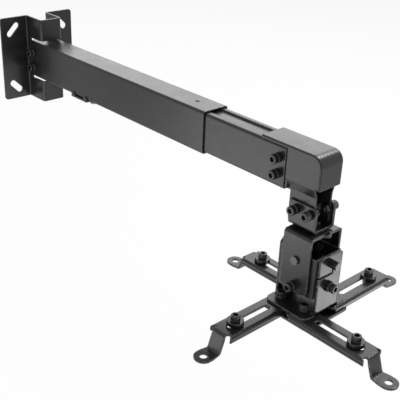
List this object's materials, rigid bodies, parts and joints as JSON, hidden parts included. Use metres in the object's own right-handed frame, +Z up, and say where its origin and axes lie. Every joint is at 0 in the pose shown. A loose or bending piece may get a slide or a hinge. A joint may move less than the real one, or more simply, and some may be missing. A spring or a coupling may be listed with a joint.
{
  "type": "projector wall mount",
  "caption": "Telescopic wall arm with a folded plate, a drawn elbow, a swivelling and tilting head and slotted legs spread like a pinwheel to carry a projector.",
  "frame": {"origin": "centre of the wall plate's back face, midway between its four slots", "axes": "+X runs out from the wall along the arm, +Y to the left of someone who looks out from the wall, +Z up"},
  "size_m": [0.654, 0.283, 0.2242],
  "materials": {
    "black_coat": "satin black powder coat",
    "black_steel": "black oxide",
    "black_plastic": "moulded",
    "grey_plastic": "moulded"
  },
  "bodies": {
    "wall": {"wall_plate": "black_coat", "outer_arm": "black_coat", "guide_screw": "black_steel", "cable_clip": "black_plastic", "clip_rivet": "grey_plastic", "wall_bolt_screws": "black_steel", "wall_bolt_washers": "black_steel", "wall_bolt_nuts": "black_steel"},
    "arm": {"inner_arm": "black_coat", "elbow": "black_coat", "elbow_bolt_screws": "black_steel", "elbow_bolt_washers": "black_steel", "elbow_bolt_nuts": "black_steel", "swivel_bracket": "black_coat", "bracket_bolt_screws": "black_steel", "bracket_bolt_washers": "black_steel", "bracket_bolt_nuts": "black_steel", "swivel_bolt": "black_steel", "swivel_disc": "black_steel", "swivel_washer": "black_steel", "swivel_nut": "black_steel"},
    "yoke": {"yoke": "black_coat", "tilt_lock_screws": "black_steel", "tilt_lock_washers": "black_steel", "tilt_lock_nuts": "black_steel"},
    "box": {"tilting_box": "black_coat", "tilt_pivot_pins": "black_steel", "tilt_pivot_nuts": "black_steel", "roll_pivot_pins": "black_steel", "roll_pivot_nuts": "black_steel", "roll_lock_screws": "black_steel", "roll_lock_washers": "black_steel", "roll_lock_nuts": "black_steel"},
    "carrier": {"carrier": "black_coat", "clamp_plate": "black_coat", "clamp_screws": "black_steel", "clamp_washers": "black_steel", "clamp_nuts": "black_steel"},
    "leg_front": {"leg_front": "black_coat"},
    "slot_front": {"slot_screw_front": "black_steel", "slot_washers_front": "black_steel", "slot_nut_front": "black_steel"},
    "leg_left": {"leg_left": "black_coat"},
    "slot_left": {"slot_screw_left": "black_steel", "slot_washers_left": "black_steel", "slot_nut_left": "black_steel"},
    "leg_rear": {"leg_rear": "black_coat"},
    "slot_rear": {"slot_screw_rear": "black_steel", "slot_washers_rear": "black_steel", "slot_nut_rear": "black_steel"},
    "leg_right": {"leg_right": "black_coat"},
    "slot_right": {"slot_screw_right": "black_steel", "slot_washers_right": "black_steel", "slot_nut_right": "black_steel"}
  },
  "joints": [
    {"name": "arm_extend", "type": "slide", "parent": "wall", "child": "arm", "axis": [1, 0, 0], "range_m": [-0.085, 0.132]},
    {"name": "head_rotate", "type": "hinge", "parent": "arm", "child": "yoke", "pos_m": [0.518, 0, -0.0581], "axis": [0, 0, 1], "continuous": true},
    {"name": "head_tilt", "type": "hinge", "parent": "yoke", "child": "box", "pos_m": [0.518, 0, -0.0881], "axis": [0, 1, 0], "range_deg": [-15, 15]},
    {"name": "head_roll", "type": "hinge", "parent": "box", "child": "carrier", "pos_m": [0.518, 0, -0.0881], "axis": [1, 0, 0], "range_deg": [-6, 6]},
    {"name": "leg_front_swing", "type": "hinge", "parent": "carrier", "child": "leg_front", "pos_m": [0.534, -0.0215, -0.1457], "axis": [0, 0, 1], "range_deg": [-10, 10]},
    {"name": "slot_front_slide", "type": "slide", "parent": "leg_front", "child": "slot_front", "axis": [1, 0, 0], "range_m": [-0.042, 0.006]},
    {"name": "leg_left_swing", "type": "hinge", "parent": "carrier", "child": "leg_left", "pos_m": [0.534, 0.0215, -0.1457], "axis": [0, 0, 1], "range_deg": [-10, 10]},
    {"name": "slot_left_slide", "type": "slide", "parent": "leg_left", "child": "slot_left", "axis": [0, 1, 0], "range_m": [-0.042, 0.006]},
    {"name": "leg_rear_swing", "type": "hinge", "parent": "carrier", "child": "leg_rear", "pos_m": [0.502, 0.0215, -0.1457], "axis": [0, 0, 1], "range_deg": [-10, 10]},
    {"name": "slot_rear_slide", "type": "slide", "parent": "leg_rear", "child": "slot_rear", "axis": [-1, 0, 0], "range_m": [-0.042, 0.006]},
    {"name": "leg_right_swing", "type": "hinge", "parent": "carrier", "child": "leg_right", "pos_m": [0.502, -0.0215, -0.1457], "axis": [0, 0, 1], "range_deg": [-10, 10]},
    {"name": "slot_right_slide", "type": "slide", "parent": "leg_right", "child": "slot_right", "axis": [0, -1, 0], "range_m": [-0.042, 0.006]}
  ]
}
